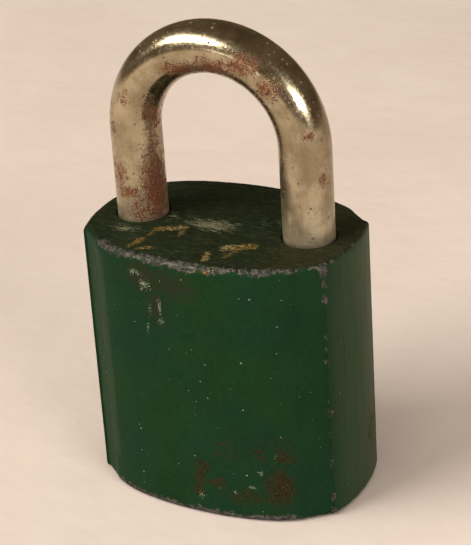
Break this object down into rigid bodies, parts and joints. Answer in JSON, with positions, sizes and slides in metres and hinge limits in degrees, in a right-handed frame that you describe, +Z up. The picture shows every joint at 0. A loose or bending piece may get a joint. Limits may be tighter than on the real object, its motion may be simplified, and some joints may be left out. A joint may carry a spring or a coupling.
{
  "type": "padlock",
  "caption": "Keyed padlock with a solid painted case and a round steel shackle that lifts when the cylinder's plug turns and lets the locking balls in.",
  "frame": {"origin": "middle of the flat base that the lock stands on", "axes": "+Z up along the shackle's legs, +X from the heel (long) leg to the toe (short) leg, +Y through the thickness towards the pin chambers' side"},
  "size_m": [0.0436, 0.0304, 0.076],
  "materials": {
    "case_paint": "semi-gloss dark green paint over steel, worn at the edges",
    "shackle_steel": "plated steel, dulled, with rust spots",
    "hard_steel": "ground hardened steel",
    "actuator_steel": "turned steel",
    "spring_steel": "bright spring wire",
    "brass": "machined brass"
  },
  "bodies": {
    "case": {"case": "case_paint", "cylinder_housing": "brass", "chamber_cover": "brass", "cylinder_screw": "hard_steel", "shackle_spring": "spring_steel", "driver_spring_1": "spring_steel", "driver_spring_2": "spring_steel", "driver_spring_3": "spring_steel", "driver_spring_4": "spring_steel", "driver_spring_5": "spring_steel"},
    "shackle": {"shackle": "shackle_steel"},
    "plug": {"plug": "brass", "plug_clip": "spring_steel", "actuator": "actuator_steel"},
    "toe_ball": {"toe_ball": "hard_steel"},
    "heel_ball": {"heel_ball": "hard_steel"},
    "driver_pin_1": {"driver_pin_1": "brass"},
    "key_pin_1": {"key_pin_1": "brass"},
    "driver_pin_2": {"driver_pin_2": "brass"},
    "key_pin_2": {"key_pin_2": "brass"},
    "driver_pin_3": {"driver_pin_3": "brass"},
    "key_pin_3": {"key_pin_3": "brass"},
    "driver_pin_4": {"driver_pin_4": "brass"},
    "key_pin_4": {"key_pin_4": "brass"},
    "driver_pin_5": {"driver_pin_5": "brass"},
    "key_pin_5": {"key_pin_5": "brass"}
  },
  "joints": [
    {"name": "shackle_lift", "type": "slide", "parent": "case", "child": "shackle", "axis": [0, 0, 1], "range_m": [0, 0.0144], "deforming": ["shackle_spring"]},
    {"name": "plug_turn", "type": "hinge", "parent": "case", "child": "plug", "pos_m": [0, 0, 0], "axis": [0, 0, 1], "range_deg": [-90, 0]},
    {"name": "toe_ball_slide", "type": "slide", "parent": "case", "child": "toe_ball", "axis": [1, 0, 0], "range_m": [0, 0.00235]},
    {"name": "heel_ball_slide", "type": "slide", "parent": "case", "child": "heel_ball", "axis": [-1, 0, 0], "range_m": [0, 0.0007]},
    {"name": "driver_pin_1_slide", "type": "slide", "parent": "case", "child": "driver_pin_1", "axis": [0, 1, 0], "range_m": [0, 0.0012], "stiffness_N_per_m": 100, "springref_m": -0.002, "deforming": ["driver_spring_1"]},
    {"name": "driver_pin_2_slide", "type": "slide", "parent": "case", "child": "driver_pin_2", "axis": [0, 1, 0], "range_m": [0, 0.0012], "stiffness_N_per_m": 100, "springref_m": -0.002, "deforming": ["driver_spring_2"]},
    {"name": "driver_pin_3_slide", "type": "slide", "parent": "case", "child": "driver_pin_3", "axis": [0, 1, 0], "range_m": [0, 0.0012], "stiffness_N_per_m": 100, "springref_m": -0.002, "deforming": ["driver_spring_3"]},
    {"name": "driver_pin_4_slide", "type": "slide", "parent": "case", "child": "driver_pin_4", "axis": [0, 1, 0], "range_m": [0, 0.0012], "stiffness_N_per_m": 100, "springref_m": -0.002, "deforming": ["driver_spring_4"]},
    {"name": "driver_pin_5_slide", "type": "slide", "parent": "case", "child": "driver_pin_5", "axis": [0, 1, 0], "range_m": [0, 0.0012], "stiffness_N_per_m": 100, "springref_m": -0.002, "deforming": ["driver_spring_5"]},
    {"name": "key_pin_1_slide", "type": "slide", "parent": "plug", "child": "key_pin_1", "axis": [0, -1, 0], "range_m": [0, 0.00205]},
    {"name": "key_pin_2_slide", "type": "slide", "parent": "plug", "child": "key_pin_2", "axis": [0, -1, 0], "range_m": [0, 0.00085]},
    {"name": "key_pin_3_slide", "type": "slide", "parent": "plug", "child": "key_pin_3", "axis": [0, -1, 0], "range_m": [0, 0.00145]},
    {"name": "key_pin_4_slide", "type": "slide", "parent": "plug", "child": "key_pin_4", "axis": [0, -1, 0], "range_m": [0, 0.00045]},
    {"name": "key_pin_5_slide", "type": "slide", "parent": "plug", "child": "key_pin_5", "axis": [0, -1, 0], "range_m": [0, 0.00175]}
  ],
  "couplings": [
    {"joint": "toe_ball_slide", "follows": "plug_turn", "m_per_rad": -0.0014961},
    {"joint": "heel_ball_slide", "follows": "plug_turn", "m_per_rad": -0.00044563}
  ]
}
